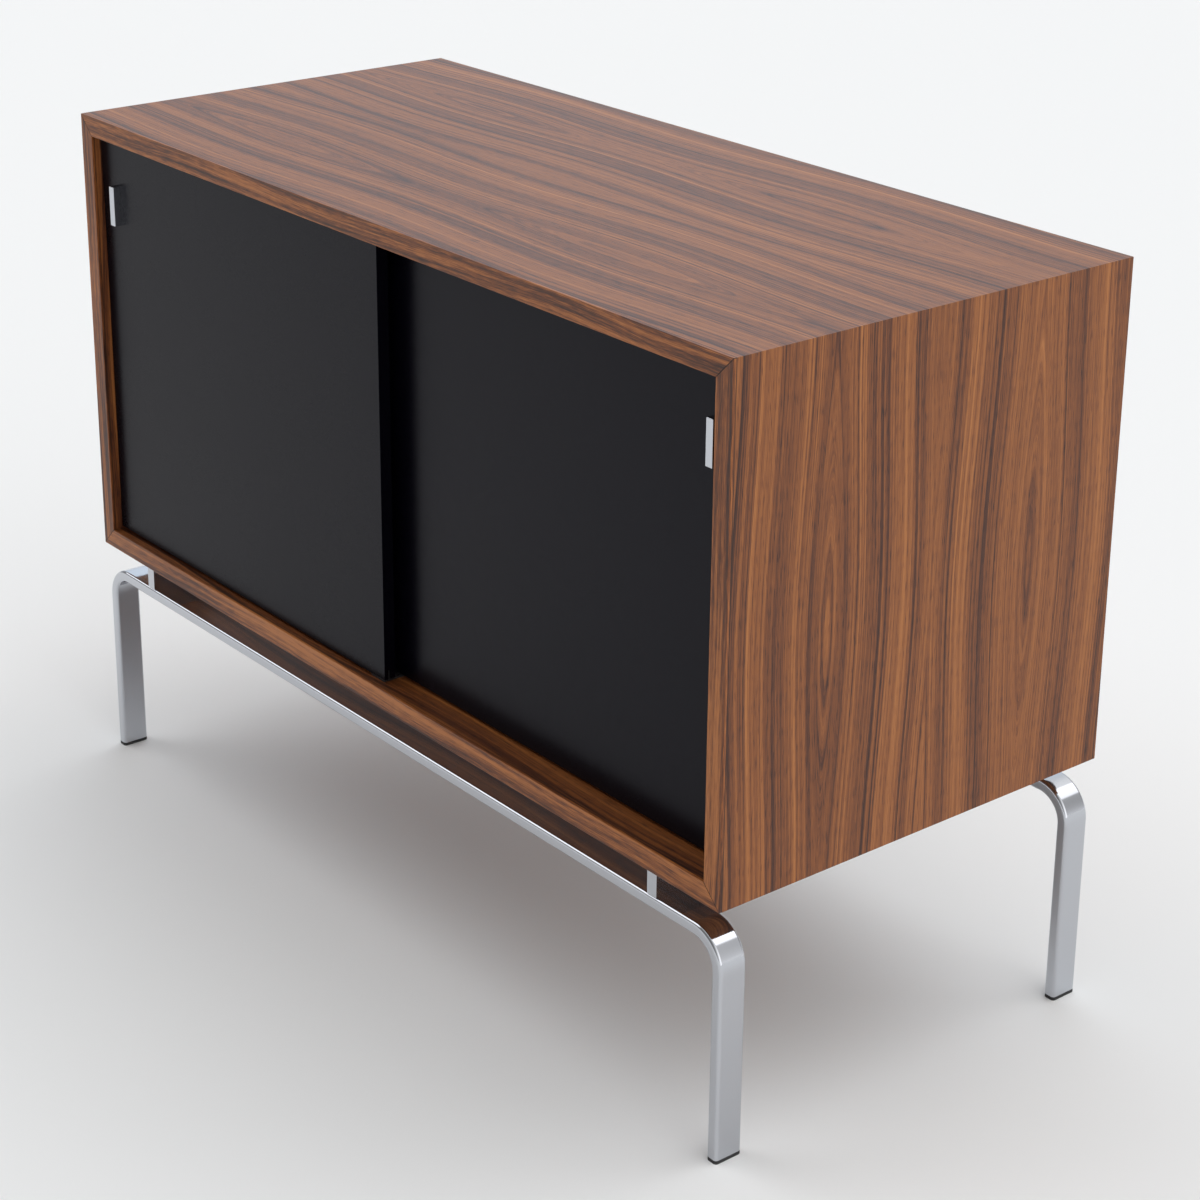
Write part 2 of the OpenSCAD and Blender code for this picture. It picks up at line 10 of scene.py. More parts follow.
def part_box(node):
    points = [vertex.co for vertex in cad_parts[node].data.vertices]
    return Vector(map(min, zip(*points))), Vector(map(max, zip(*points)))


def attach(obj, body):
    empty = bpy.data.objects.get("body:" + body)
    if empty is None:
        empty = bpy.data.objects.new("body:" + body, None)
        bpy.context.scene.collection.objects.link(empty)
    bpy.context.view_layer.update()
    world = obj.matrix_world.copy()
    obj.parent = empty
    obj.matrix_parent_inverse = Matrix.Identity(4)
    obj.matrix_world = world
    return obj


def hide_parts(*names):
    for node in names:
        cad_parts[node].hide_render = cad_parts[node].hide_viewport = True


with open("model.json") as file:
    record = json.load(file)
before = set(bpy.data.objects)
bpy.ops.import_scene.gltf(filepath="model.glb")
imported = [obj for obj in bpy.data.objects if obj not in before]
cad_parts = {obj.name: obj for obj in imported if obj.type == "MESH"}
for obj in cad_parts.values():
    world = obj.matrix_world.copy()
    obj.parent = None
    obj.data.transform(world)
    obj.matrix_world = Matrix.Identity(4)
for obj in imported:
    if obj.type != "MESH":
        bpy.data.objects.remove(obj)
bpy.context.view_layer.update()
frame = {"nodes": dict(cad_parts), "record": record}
nodes = frame["nodes"]
scene = bpy.context.scene


# Camera: a bearing round the case, a height above the horizon and a slight roll
view = {
    "place": (1.9223, -1.5069, 1.3404),
    "bearing": 51.21,
    "fall": 19.79,
    "roll": 0.43,
    "lens": 81.03,
    "sensor": 36.0,
    "shift": (0.0098, -0.1417),
    "farthest": 60,
}


def makeCamera():
    bearing, fall, roll = (math.radians(view[key]) for key in ("bearing", "fall", "roll"))
    right = Vector((math.cos(bearing), math.sin(bearing), 0))
    forward = Vector((-math.sin(bearing), math.cos(bearing), 0))
    ahead = forward * math.cos(fall) - Vector((0, 0, math.sin(fall)))
    up = right.cross(ahead)
    rolledRight = math.cos(roll) * right + math.sin(roll) * up
    rolledUp = math.cos(roll) * up - math.sin(roll) * right
    camera = bpy.data.objects.new("camera", bpy.data.cameras.new("camera"))
    scene.collection.objects.link(camera)
    turn = Matrix((rolledRight, rolledUp, -ahead)).transposed().to_4x4()
    camera.matrix_world = Matrix.Translation(view["place"]) @ turn
    camera.data.lens = view["lens"]
    camera.data.sensor_width = view["sensor"]
    camera.data.shift_x, camera.data.shift_y = view["shift"]
    camera.data.clip_end = view["farthest"]
    scene.camera = camera


makeCamera()
print("camera made")


# Studio: a pale floor under a soft dome that is brighter on one side
studio = {
    "floorSize": 24.0,
    "floorColour": (0.880, 0.885, 0.883, 1),
    "floorRoughness": 0.9,
    "floorShine": 0.1,
    "skyColour": (0.215, 0.214, 0.212),
    "horizon": (0.45, 0.45, 0.46),
    "horizonPower": 6.0,
    "lobes": [      # bearing from +X, height, colour, how tightly the light gathers about its middle
        (84, 73, (2.04, 2.04, 2.04), 14.0),
        (0, 17, (1.50, 1.50, 1.50), 12.0),
        (141, 22, (0.82, 0.95, 1.10), 24.0),
    ],
    "softboxes": [  # bearing from +X, height, colour, radius and half the width of its edge
        (62, 46, (1.05, 1.05, 1.08), 14, 2),
        (212, 42, (1.50, 1.50, 1.54), 20, 3),
    ],
    "toneCurve": "Standard",
}


def addNode(tree, kind, inputs=None, **settings):
    node = tree.nodes.new(kind)
    for key, value in settings.items():
        setattr(node, key, value)
    for key, value in (inputs or {}).items():
        if isinstance(value, bpy.types.NodeSocket):
            tree.links.new(value, node.inputs[key])
        else:
            node.inputs[key].default_value = value
    return node


def addMath(tree, operation, first, second=0.0, third=0.0):
    return addNode(tree, "ShaderNodeMath", {0: first, 1: second, 2: third}, operation=operation).outputs[0]


def addRamp(tree, fac, stops):
    ramp = addNode(tree, "ShaderNodeValToRGB", {"Fac": fac})
    elements = ramp.color_ramp.elements
    while len(elements) < len(stops):
        elements.new(1.0)
    for element, (place, colour) in zip(elements, stops):
        element.position = place
        element.color = (*(colour if isinstance(colour, tuple) else (colour,) * 3), 1)
    return ramp.outputs["Color"]


def addShare(tree, value, low, high, lowest=0.0, highest=1.0, **settings):
    # runs from lowest to highest while the value runs from low to high
    return addNode(tree, "ShaderNodeMapRange", {
        "Value": value, "From Min": low, "From Max": high, "To Min": lowest, "To Max": highest,
    }, **settings).outputs["Result"]


def addNoise(tree, vector, scale, detail=2.0, roughness=0.5):
    values = {"Vector": vector, "Scale": scale, "Detail": detail, "Roughness": roughness}
    return addNode(tree, "ShaderNodeTexNoise", values).outputs["Fac"]


def makeStudio():
    side = studio["floorSize"] / 2
    floorMesh = bpy.data.meshes.new("floor")
    corners = np.array([[-1, -1, 0], [1, -1, 0], [1, 1, 0], [-1, 1, 0]]) * side
    floorMesh.from_pydata(corners.tolist(), [], [(0, 1, 2, 3)])
    floor = bpy.data.objects.new("floor", floorMesh)
    scene.collection.objects.link(floor)
    paint = bpy.data.materials.new("floorPaint")
    paint.use_nodes = True
    shader = paint.node_tree.nodes["Principled BSDF"]
    shader.inputs["Base Color"].default_value = studio["floorColour"]
    shader.inputs["Roughness"].default_value = studio["floorRoughness"]
    shader.inputs["Specular IOR Level"].default_value = studio["floorShine"]
    floorMesh.materials.append(paint)

    # lean = cosine of the angle to a light; lobe = colour * ((1 + lean) / 2) ^ power;
    # softbox = colour * smooth step of lean across its edge; horizon = colour * (1 - height) ^ power;
    # the sky is their sum
    world = bpy.data.worlds.new("studio")
    scene.world = world
    world.use_nodes = True
    tree = world.node_tree
    tree.nodes.clear()
    direction = addNode(tree, "ShaderNodeTexCoord").outputs["Generated"]
    above = addNode(tree, "ShaderNodeSeparateXYZ", {0: direction}).outputs[2]
    low = addMath(tree, "POWER", addMath(tree, "SUBTRACT", 1.0, above), studio["horizonPower"])
    sky = addNode(tree, "ShaderNodeVectorMath", {
        0: low, 1: studio["horizon"], 2: studio["skyColour"],
    }, operation="MULTIPLY_ADD").outputs["Vector"]
    for bearing, height, colour, *shape in studio["lobes"] + studio["softboxes"]:
        bearing, height = math.radians(bearing), math.radians(height)
        level = math.cos(height)
        towards = (math.cos(bearing) * level, math.sin(bearing) * level, math.sin(height))
        lean = addNode(
            tree, "ShaderNodeVectorMath", {0: direction, 1: towards}, operation="DOT_PRODUCT",
        ).outputs["Value"]
        if len(shape) == 1:
            share = addMath(tree, "POWER", addMath(tree, "MULTIPLY_ADD", lean, 0.5, 0.5), shape[0])
        else:
            radius, edge = shape
            outside, inside = (math.cos(math.radians(radius + sign * edge)) for sign in (1, -1))
            share = addShare(tree, lean, outside, inside, interpolation_type="SMOOTHSTEP")
        sky = addNode(
            tree, "ShaderNodeVectorMath", {0: share, 1: colour, 2: sky}, operation="MULTIPLY_ADD",
        ).outputs["Vector"]
    background = addNode(tree, "ShaderNodeBackground", {"Color": sky, "Strength": 1.0})
    output = addNode(tree, "ShaderNodeOutputWorld")
    tree.links.new(background.outputs[0], output.inputs["Surface"])
    scene.view_settings.view_transform = studio["toneCurve"]


makeStudio()
print("studio made")


def newGroup(name, inputs, outputs):
    group = bpy.data.node_groups.new(name, "ShaderNodeTree")
    for label, kind, value in inputs:
        socket = group.interface.new_socket(label, in_out="INPUT", socket_type="NodeSocket" + kind)
        if value is not None:
            socket.default_value = value
    for label, kind in outputs:
        group.interface.new_socket(label, in_out="OUTPUT", socket_type="NodeSocket" + kind)
    return group, group.nodes.new("NodeGroupInput").outputs, group.nodes.new("NodeGroupOutput")


def addStretched(group, across, along, depth, wide=1.0, long=1.0):
    # a pattern's place, with its directions across and along the grain scaled
    return addNode(group, "ShaderNodeCombineXYZ", {
        0: addMath(group, "MULTIPLY", across, wide), 1: addMath(group, "MULTIPLY", along, long), 2: depth,
    }).outputs[0]


def addDrift(group, place, width, detail):
    # slow noise from -width / 2 to width / 2
    return addMath(group, "MULTIPLY_ADD", addNoise(group, place, 1.0, detail), width, -width / 2)


def addLayers(group, tone, layers):
    # tone + the sum of amount * (noise - 1 / 2)
    for noise, amount in layers:
        tone = addMath(group, "ADD", tone, addMath(group, "MULTIPLY_ADD", noise, amount, -amount / 2))
    return tone


# Book-matched walnut veneer
veneer = {
    "halfLeaf": 0.1175,     # from the middle of a crown to the seam beside it
    "crown": 0.012,         # how blunt the crown is
    "swell": 0.0045,        # how far the streaks swell out beside a crown
    "wave": 0.51,           # from one crown to the next along the grain
    "crownPlace": -0.745,   # a crown's place along the grain
    "wander": (0.003, 9.0, 1.6),    # drift mirrored at a seam: width, how fast it changes across and along
    "skew": (0.0016, 8.0, 1.6),     # drift that makes the two sides of a seam differ, in the same way
    "figure": [             # millimetres from the crown line and the tone there
        (7, 0.50), (11, 0.38), (17, 0.56), (22, 0.42), (30, 0.56), (32.5, 0.80), (34.5, 0.56), (39, 0.42),
        (47, 0.40), (53, 0.34), (56.5, 0.14), (59, 0.40), (64.5, 0.52), (71.5, 0.60), (79, 0.58), (82, 0.86),
        (84.5, 0.58), (92, 0.50), (98, 0.42), (102, 0.18), (105, 0.45), (108, 0.52), (113, 0.58),
    ],
    "figureSpan": (5, 118),
    # each noise has a scale, a detail, a roughness and an amount
    "bands": (150, 2, 0.5, 0.55),
    "streaks": (640, 4, 0.8, 1.60),
    "fibre": (1000, 3, 0.7, 0.70),
    "cloud": (1, 2, 0.5, 0.25),
    "streakStretch": (0.0025, 0.012),   # how fast streaks change along the grain and from one to the next
    "fibreStretch": 0.028,
    "cloudStretch": (5.0, 2.0),
    "lines": (330, 1, 0.5),
    "darkLines": (0.58, 0.67, -0.24),   # where in the noise a line starts, where it is full, its tone
    "lightLines": (0.40, 0.33, 0.17),
    "pores": (1150, 1, 0.5),
    "poreStretch": 0.055,
    "poreEdge": (0.32, 0.44),
    "poreTone": 0.24,
    "poreDepth": 0.6,
    "shade": -0.19,
    "colours": [
        (0.00, (0.031, 0.010, 0.005)), (0.25, (0.100, 0.029, 0.010)), (0.50, (0.210, 0.066, 0.017)),
        (0.75, (0.305, 0.105, 0.027)), (1.00, (0.400, 0.150, 0.040)),
    ],
    "roughness": (0.36, 0.50),
}


def makeVeneerGroup():
    # d = distance to the nearest crown line, mirrored at every seam
    # f = sqrt(d^2 + crown^2) - swell * cos(2 pi (v - crownPlace) / wave) + wander + skew
    # tone = the figure at f + bands, streaks and thin lines along f + fibre + cloud + pores
    group, given, result = newGroup(
        "walnutVeneer",
        [("Vector", "Vector", None), ("Lightness", "Float", 0.0)],
        [("Color", "Color"), ("Fibre", "Float"), ("Roughness", "Float")],
    )
    across, along, depth = addNode(group, "ShaderNodeSeparateXYZ", {0: given["Vector"]}).outputs
    half = veneer["halfLeaf"]
    d = addMath(group, "PINGPONG", addMath(group, "ADD", across, half), half)

    width, *stretch = veneer["wander"]
    wander = addDrift(group, addStretched(group, d, along, 0.7, *stretch), width, 1.0)
    width, *stretch = veneer["skew"]
    skew = addDrift(group, addStretched(group, across, along, 3.1, *stretch), width, 1.0)
    perMetre = 2 * math.pi / veneer["wave"]
    turn = addMath(group, "MULTIPLY_ADD", along, perMetre, -perMetre * veneer["crownPlace"])
    swell = addMath(group, "MULTIPLY", addMath(group, "COSINE", turn), -veneer["swell"])
    blunt = addMath(group, "SQRT", addMath(group, "MULTIPLY_ADD", d, d, veneer["crown"] ** 2))
    f = addMath(group, "ADD", addMath(group, "ADD", blunt, swell), addMath(group, "ADD", wander, skew))

    low, high = veneer["figureSpan"]
    stops = [((mm - low) / (high - low), tone) for mm, tone in veneer["figure"]]
    figure = addRamp(group, addShare(group, f, low / 1000, high / 1000), stops)

    long, apart = veneer["streakStretch"]
    streakPlace = addStretched(group, f, along, addMath(group, "MULTIPLY", across, apart), 1.0, long)
    fibrePlace = addStretched(group, across, along, depth, 1.0, veneer["fibreStretch"])
    cloudPlace = addStretched(group, across, along, 5.3, *veneer["cloudStretch"])
    places = {"bands": streakPlace, "streaks": streakPlace, "fibre": fibrePlace, "cloud": cloudPlace}
    layers = {}
    for name, place in places.items():
        *character, amount = veneer[name]
        layers[name] = addNoise(group, place, *character), amount
    fibre = layers["fibre"][0]
    lineNoise = addNoise(group, streakPlace, *veneer["lines"])
    lines = [
        addShare(group, lineNoise, start, full, 0.0, tone)
        for start, full, tone in (veneer["darkLines"], veneer["lightLines"])
    ]
    porePlace = addStretched(group, across, along, depth, 1.0, veneer["poreStretch"])
    pores = addShare(group, addNoise(group, porePlace, *veneer["pores"]), *veneer["poreEdge"])

    # Lightness shifts the whole tone; the inner boards' negative values are painted shade inside the case
    tone = addLayers(group, addMath(group, "ADD", figure, given["Lightness"]), layers.values())
    tone = addMath(group, "ADD", tone, addMath(group, "ADD", *lines))
    tone = addMath(group, "MULTIPLY_ADD", pores, veneer["poreTone"],
                   addMath(group, "ADD", tone, veneer["shade"]))
    colour = addRamp(group, tone, veneer["colours"])
    smooth, rough = veneer["roughness"]
    gloss = addMath(group, "MULTIPLY_ADD", fibre, rough - smooth, smooth)
    height = addMath(group, "MULTIPLY_ADD", pores, veneer["poreDepth"], fibre)
    group.links.new(colour, result.inputs["Color"])
    group.links.new(height, result.inputs["Fibre"])
    group.links.new(gloss, result.inputs["Roughness"])
    return group


# Solid walnut of the front lippings, with grain that drifts across the narrow face
lipping = {
    "drift": (0.030, 4.0, 2.2),     # width, how fast it changes across and along
    # each noise has a scale, a detail, a roughness and an amount
    "broad": (60, 2, 0.5, 1.3),
    "streaks": (240, 4, 0.6, 1.7),
    "fibre": (1400, 3, 0.6, 1.2),
    "streakStretch": 0.018,
    "fibreStretch": 0.04,
    "roughness": (0.36, 0.50),
    "colours": [
        (0.10, (0.033, 0.010, 0.005)), (0.35, (0.108, 0.031, 0.009)), (0.55, (0.230, 0.069, 0.016)),
        (0.85, (0.430, 0.152, 0.038)),
    ],
}


def makeLippingGroup():
    # f = across + slow drift; tone = 1 / 2 + broad bands, streaks and fibre, all long along f
    group, given, result = newGroup(
        "solidWalnut",
        [("Vector", "Vector", None), ("Seed", "Float", 0.0)],
        [("Color", "Color"), ("Fibre", "Float"), ("Roughness", "Float")],
    )
    across, along, depth = addNode(group, "ShaderNodeSeparateXYZ", {0: given["Vector"]}).outputs
    width, *stretch = lipping["drift"]
    drift = addDrift(group, addStretched(group, across, along, given["Seed"], *stretch), width, 2.0)
    f = addMath(group, "ADD", across, drift)
    seeded = addMath(group, "ADD", depth, given["Seed"])
    streakPlace = addStretched(group, f, along, seeded, 1.0, lipping["streakStretch"])
    fibrePlace = addStretched(group, f, along, depth, 1.0, lipping["fibreStretch"])
    layers = {}
    for name, place in (("broad", streakPlace), ("streaks", streakPlace), ("fibre", fibrePlace)):
        *character, amount = lipping[name]
        layers[name] = addNoise(group, place, *character), amount
    fibre = layers["fibre"][0]
    colour = addRamp(group, addLayers(group, 0.5, layers.values()), lipping["colours"])
    smooth, rough = lipping["roughness"]
    gloss = addMath(group, "MULTIPLY_ADD", fibre, rough - smooth, smooth)
    group.links.new(colour, result.inputs["Color"])
    group.links.new(fibre, result.inputs["Fibre"])
    group.links.new(gloss, result.inputs["Roughness"])
    return group


# Thin dark lines where the lippings are glued on and where their mitres meet
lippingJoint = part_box("top_lipping")[1].y       # depth of the glued joint behind the lippings
glueLine = {
    "halfWidth": 0.00032,
    "fade": 0.00015,
    "strength": 0.8,
    "colour": (0.020, 0.008, 0.004, 1),
}


def makeGlueLineGroup(low, high):
    # distance to the joint's plane, or in front of it to the mitres, which lie as far in from the case's
    # side as from its top or bottom
    group, given, result = newGroup("glueLine", [("Vector", "Vector", None)], [("Mask", "Float")])
    x, y, z = addNode(group, "ShaderNodeSeparateXYZ", {0: given["Vector"]}).outputs
    wide = addMath(group, "ABSOLUTE", x)
    tall = addMath(group, "ABSOLUTE", addMath(group, "SUBTRACT", z, (low.z + high.z) / 2))
    apart = addMath(group, "ADD", addMath(group, "SUBTRACT", wide, tall), (high.z - low.z) / 2 - high.x)
    halfWidth, strength = glueLine["halfWidth"], glueLine["strength"]
    behind = addMath(group, "GREATER_THAN", y, lippingJoint + halfWidth)
    mitre = addMath(group, "MULTIPLY_ADD", addMath(group, "ABSOLUTE", apart), math.sqrt(0.5), behind)
    joint = addMath(group, "ABSOLUTE", addMath(group, "SUBTRACT", y, lippingJoint))
    nearest = addMath(group, "MINIMUM", mitre, joint)
    mask = addShare(group, nearest, halfWidth, halfWidth + glueLine["fade"], strength, 0.0)
    group.links.new(mask, result.inputs["Mask"])
    return group


# Fine uneven haze that keeps a made surface from looking perfect
haze = {
    "broad": (3, 0.55, 0.6),    # a noise's detail, roughness and share
    "fine": (2, 0.5, 0.4),
    "span": (0.3, 0.7),
}


def makeHazeGroup():
    # roughness = from Low to High as the shares of a broad and a fine noise add up over the span
    group, given, result = newGroup(
        "surfaceHaze",
        [("Vector", "Vector", None), ("Broad Scale", "Float", None), ("Fine Scale", "Float", None),
         ("Low", "Float", None), ("High", "Float", None)],
        [("Roughness", "Float"), ("Grain", "Float")],
    )
    *broadCharacter, broadShare = haze["broad"]
    *fineCharacter, fineShare = haze["fine"]
    broad = addNoise(group, given["Vector"], given["Broad Scale"], *broadCharacter)
    fine = addNoise(group, given["Vector"], given["Fine Scale"], *fineCharacter)
    mixed = addMath(group, "MULTIPLY_ADD", broad, broadShare, addMath(group, "MULTIPLY", fine, fineShare))
    gloss = addShare(group, mixed, *haze["span"], given["Low"], given["High"])
    group.links.new(gloss, result.inputs["Roughness"])
    group.links.new(fine, result.inputs["Grain"])
    return group


veneerGroup = makeVeneerGroup()
lippingGroup = makeLippingGroup()
hazeGroup = makeHazeGroup()
caseLow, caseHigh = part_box("left_side")[0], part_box("right_side")[1]
glueLineGroup = makeGlueLineGroup(caseLow, caseHigh)
print("shader groups made")


def newMaterial(name, colour, roughness, metallic=0.0, specular=0.5):
    material = bpy.data.materials.new(name)
    material.use_nodes = True
    shader = material.node_tree.nodes["Principled BSDF"]
    shader.inputs["Base Color"].default_value = (*colour, 1)
    shader.inputs["Roughness"].default_value = roughness
    shader.inputs["Metallic"].default_value = metallic
    shader.inputs["Specular IOR Level"].default_value = specular
    return material, material.node_tree, shader


def addPlace(tree, across, along, shift):
    # turns the case's directions into a pattern's own: x across the grain, y along it
    turn = Matrix((across, along, Vector(across).cross(Vector(along)))).to_euler()
    place = addNode(tree, "ShaderNodeTexCoord").outputs["Object"]
    return addNode(tree, "ShaderNodeMapping", {
        "Vector": place, "Location": shift, "Rotation": turn,
    }).outputs[0]


def addBump(tree, shader, height, distance):
    bump = addNode(tree, "ShaderNodeBump", {"Height": height, "Distance": distance, "Strength": 1.0})
    tree.links.new(bump.outputs["Normal"], shader.inputs["Normal"])


# Low sheen that the veneer and the lippings share
woodSurface = {"colour": (0.24, 0.10, 0.045), "roughness": 0.42, "specular": 0.38, "bump": 0.00006}


def woodMaterial(name, group, across, along, shift, extra):
    material, tree, shader = newMaterial(
        name, woodSurface["colour"], woodSurface["roughness"], specular=woodSurface["specular"],
    )
    grain = {"Vector": addPlace(tree, across, along, shift), **extra}
    wood = addNode(tree, "ShaderNodeGroup", grain, node_tree=group)
    place = addNode(tree, "ShaderNodeTexCoord").outputs["Object"]
    line = addNode(tree, "ShaderNodeGroup", {"Vector": place}, node_tree=glueLineGroup)
    lined = addNode(tree, "ShaderNodeMix", {
        "Factor": line.outputs["Mask"], "A": wood.outputs["Color"], "B": glueLine["colour"],
    }, data_type="RGBA")
    tree.links.new(lined.outputs["Result"], shader.inputs["Base Color"])
    tree.links.new(wood.outputs["Roughness"], shader.inputs["Roughness"])
    addBump(tree, shader, wood.outputs["Fibre"], woodSurface["bump"])
    return material


def hazeMaterial(name, colour, roughness, scales, metallic=0.0, specular=0.5, tint=(1, 1, 1),
                 stretch=(1, 1, 1), bump=0.0):
    # roughness = the lowest and highest, scales = those of the broad and the fine haze
    low, high = roughness
    broad, fine = scales
    material, tree, shader = newMaterial(name, colour, (low + high) / 2, metallic, specular)
    shader.inputs["Specular Tint"].default_value = (*tint, 1)
    place = addNode(tree, "ShaderNodeTexCoord").outputs["Object"]
    stretched = addNode(tree, "ShaderNodeMapping", {"Vector": place, "Scale": stretch}).outputs[0]
    mist = addNode(tree, "ShaderNodeGroup", {
        "Vector": stretched, "Low": low, "High": high, "Broad Scale": broad, "Fine Scale": fine,
    }, node_tree=hazeGroup)
    tree.links.new(mist.outputs["Roughness"], shader.inputs["Roughness"])
    if bump:
        addBump(tree, shader, mist.outputs["Grain"], bump)
    return material


xAxis, yAxis, zAxis = (1, 0, 0), (0, 1, 0), (0, 0, 1)
minusX, minusZ = (-1, 0, 0), (0, 0, -1)
overEdge = caseHigh.x + caseHigh.z      # the grain runs over the edge of the top and down the sides
# The inner boards' grain leans a little, so that their front edges show streaks as well
leanedUp, leanedOut = Vector((0, 0.95, 0.31)).normalized(), Vector((0.31, 0.95, 0)).normalized()
# Board: direction across the grain, direction along it, shift, lightness; the inner boards' negative
# lightness is painted shade inside the case
veneers = {
    "top_panel": (yAxis, minusX, (0, 0, 0), 0.0),
    "right_side": (yAxis, zAxis, (0, -overEdge, 0), 0.0),
    "left_side": (yAxis, minusZ, (0, overEdge, 0), 0.0),
    "bottom_panel": (yAxis, minusX, (0, 0.13, 0), -0.11),
    "partition": (leanedOut, zAxis, (0.06, 0.21, 0), -0.05),
    "left_shelf": (leanedUp, minusX, (0.02, 0.37, 0), -0.03),
    "right_shelf": (leanedUp, minusX, (0.02, 0.37, 0), -0.03),
    "back_panel": (zAxis, minusX, (0.04, 0.05, 0), -0.04),
}
# Lipping: direction across the grain, direction along it, seed
lippings = {
    "top_lipping": (zAxis, xAxis, 1.7),
    "bottom_lipping": (zAxis, xAxis, 4.3),
    "left_lipping": (xAxis, zAxis, 7.9),
    "right_lipping": (xAxis, zAxis, 11.2),
}
finishes = {
    name: woodMaterial("veneer_" + name, veneerGroup, across, along, shift, {"Lightness": light})
    for name, (across, along, shift, light) in veneers.items()
}
finishes.update({
    name: woodMaterial("solid_" + name, lippingGroup, across, along, (0, 0, 0), {"Seed": seed})
    for name, (across, along, seed) in lippings.items()
})
# Made surfaces: each takes the name of its material slot
hazed = {
    "chrome": dict(colour=(0.55, 0.565, 0.60), roughness=(0.05, 0.11), scales=(40, 500), metallic=1.0,
                   stretch=(1, 1, 6)),
    "black_door": dict(colour=(0.0011, 0.0009, 0.0027), roughness=(0.25, 0.30), scales=(8, 1500),
                       specular=0.13, tint=(0.88, 0.84, 1.0), bump=0.00001),
    "rubber": dict(colour=(0.012, 0.012, 0.013), roughness=(0.45, 0.60), scales=(90, 1800), bump=0.00005),
    "black_nylon": dict(colour=(0.02, 0.02, 0.021), roughness=(0.35, 0.45), scales=(60, 1200),
                        bump=0.00002),
    "nylon": dict(colour=(0.78, 0.78, 0.74), roughness=(0.35, 0.45), scales=(60, 1200), bump=0.00002),
    "alloy": dict(colour=(0.58, 0.59, 0.61), roughness=(0.26, 0.38), scales=(80, 1600), metallic=1.0,
                  stretch=(0.02, 1, 1), bump=0.00002),
    "zinc_steel": dict(colour=(0.52, 0.52, 0.54), roughness=(0.28, 0.42), scales=(150, 1500),
                       metallic=1.0, bump=0.00002),
    "beech": dict(colour=(0.56, 0.36, 0.18), roughness=(0.50, 0.65), scales=(60, 900),
                  stretch=(0.1, 1, 1), bump=0.00005),
}
slotPaint = {slot: hazeMaterial(slot, **values) for slot, values in hazed.items()}
print("materials made")


def paint(name, material):
    nodes[name].data.materials.clear()
    nodes[name].data.materials.append(material)


for row in frame["record"]["subparts"]:
    paint(row["node"], finishes.get(row["node"]) or slotPaint[row["material_slot"]])
print("frame painted")


def roundedOutline(width, height, radii, steps):
    # four quarter circles joined by straight sides, starting at the corner of +width and +height;
    # a normal goes with each point
    turns = (np.arange(4)[:, None] * 90 + np.linspace(0, 90, steps + 1)[None, :]) * math.pi / 180
    normals = np.stack([np.cos(turns), np.sin(turns)], -1)
    signs = np.array([[1, 1], [-1, 1], [-1, -1], [1, -1]])[:, None, :]
    radii = np.broadcast_to(np.asarray(radii, float), 4)[:, None, None]
    corners = signs * (np.array([width, height]) / 2 - radii)
    return (corners + radii * normals).reshape(-1, 2), normals.reshape(-1, 2)


def carryOutline(outline, normals, origins, sides, ups, insets):
    # place = origin + side * (p - inset * n).x + up * (p - inset * n).y, for each station and point
    flat = outline[None] - insets[:, None, None] * normals[None]
    return origins[:, None] + sides[:, None] * flat[..., :1] + ups[:, None] * flat[..., 1:]


def solidFromRings(name, grids):
    # each grid is stations x points x 3: quads between the rings and one face over each end
    places, faces, start = [], [], 0
    for grid in grids:
        rings, points = grid.shape[:2]
        index = start + np.arange(rings * points).reshape(rings, points)
        following = np.roll(index, -1, axis=1)
        quads = np.stack([index[:-1], following[:-1], following[1:], index[1:]], -1).reshape(-1, 4)
        faces += quads.tolist() + [index[0, ::-1].tolist(), index[-1].tolist()]
        places.append(grid.reshape(-1, 3))
        start += rings * points
    mesh = bpy.data.meshes.new(name)
    mesh.from_pydata(np.concatenate(places).tolist(), [], faces)
    mesh.update()
    piece = bpy.data.objects.new(name, mesh)
    scene.collection.objects.link(piece)
    faceOutwards(piece)
    return piece


def faceOutwards(piece):
    work = bmesh.new()
    work.from_mesh(piece.data)
    bmesh.ops.recalc_face_normals(work, faces=work.faces)
    work.to_mesh(piece.data)
    work.free()


hole = {"quarterSteps": 12, "slack": 0.001}     # a cutter sticks out of its piece by the slack


def cutHoles(piece, holes):
    # a hole is the middle of one end, a direction, a length and a diameter
    grids = []
    for end, direction, length, diameter in holes:
        outline, normals = roundedOutline(diameter, diameter, diameter / 2, hole["quarterSteps"])
        ahead = np.array(direction, float)
        side = np.array([1.0, 0, 0]) if abs(ahead[0]) < 0.5 else np.array([0, 1.0, 0])
        up = np.cross(ahead, side)
        origins = np.array(end)[None] + ahead[None] * np.array([[0.0], [length]])
        grids.append(carryOutline(outline, normals, origins, side[None].repeat(2, 0), up[None].repeat(2, 0),
                                  np.zeros(2)))
    cutter = solidFromRings("cutter", grids)
    cut = piece.modifiers.new("holes", "BOOLEAN")
    cut.operation, cut.solver, cut.object = "DIFFERENCE", "EXACT", cutter
    graph = bpy.context.evaluated_depsgraph_get()
    drilled = bpy.data.meshes.new_from_object(piece.evaluated_get(graph))
    piece.modifiers.remove(cut)
    piece.data = drilled
    piece.data.name = piece.name
    bpy.data.objects.remove(cutter)


smoothest = math.radians(38)        # an edge steeper than this is drawn sharp


def finishMetal(piece, body, slot, node):
    piece.data.materials.clear()
    piece.data.materials.append(slotPaint[slot])
    piece.data.shade_smooth()
    piece.data.set_sharp_from_angle(angle=smoothest)
    weigh = piece.modifiers.new("flat faces stay flat", "WEIGHTED_NORMAL")
    weigh.keep_sharp = True
    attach(piece, body)
    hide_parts(node)


